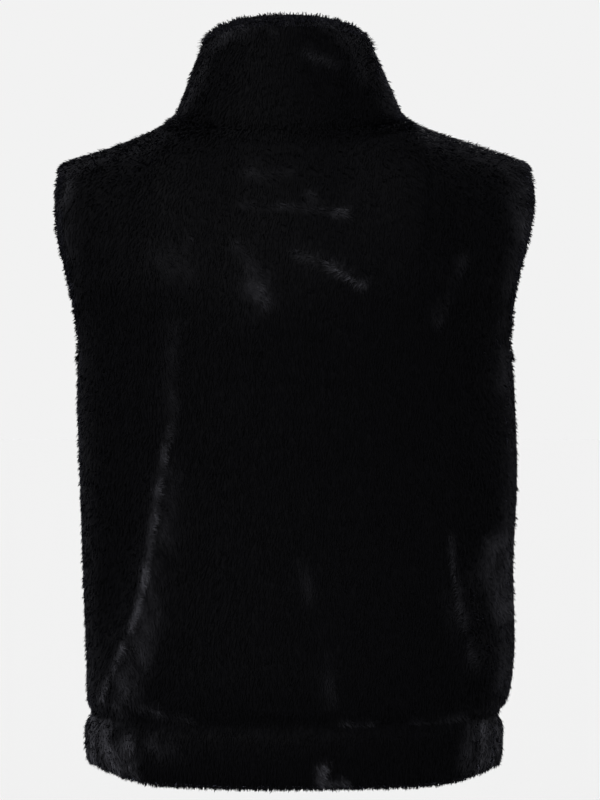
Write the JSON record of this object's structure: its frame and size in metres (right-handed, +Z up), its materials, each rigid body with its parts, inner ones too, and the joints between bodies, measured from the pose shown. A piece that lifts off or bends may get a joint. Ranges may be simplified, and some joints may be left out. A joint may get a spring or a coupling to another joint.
{
  "type": "faux fur vest",
  "caption": "Hip-length sleeveless plush faux fur vest with a tall stand collar, gathered hem band and full front zip, filled out as worn.",
  "frame": {"origin": "middle of the neck, level with the points where the shoulder seams meet the collar, on the line of the shoulder seams; the wearer's shoulders hold the vest there", "axes": "+Z up; +Y towards the back of the vest; +X towards the wearer's left side"},
  "size_m": [0.4516, 0.262, 0.7135],
  "materials": {
    "fur": "dense short plush pile, near black, soft sheen",
    "zip_tape": "woven twill tape, matte",
    "zip_teeth": "moulded, satin",
    "zip_metal": "dark coated metal, semi-gloss"
  },
  "bodies": {
    "vest": {"back": "fur", "front_left": "fur", "front_right": "fur", "collar": "fur", "hem_band_back": "fur", "hem_band_left": "fur", "hem_band_right": "fur", "zip_tape_left": "zip_tape", "zip_tape_right": "zip_tape", "zip_teeth": "zip_teeth", "zip_bottom_box": "zip_teeth", "zip_slider": "zip_metal"},
    "pull": {"zip_pull_tab": "zip_metal"}
  },
  "joints": [
    {"name": "pull_tab_swing", "type": "hinge", "parent": "vest", "child": "pull", "pos_m": [0, -0.07064, 0.01866], "axis": [-1, 0, 0], "range_deg": [0, 160]}
  ]
}
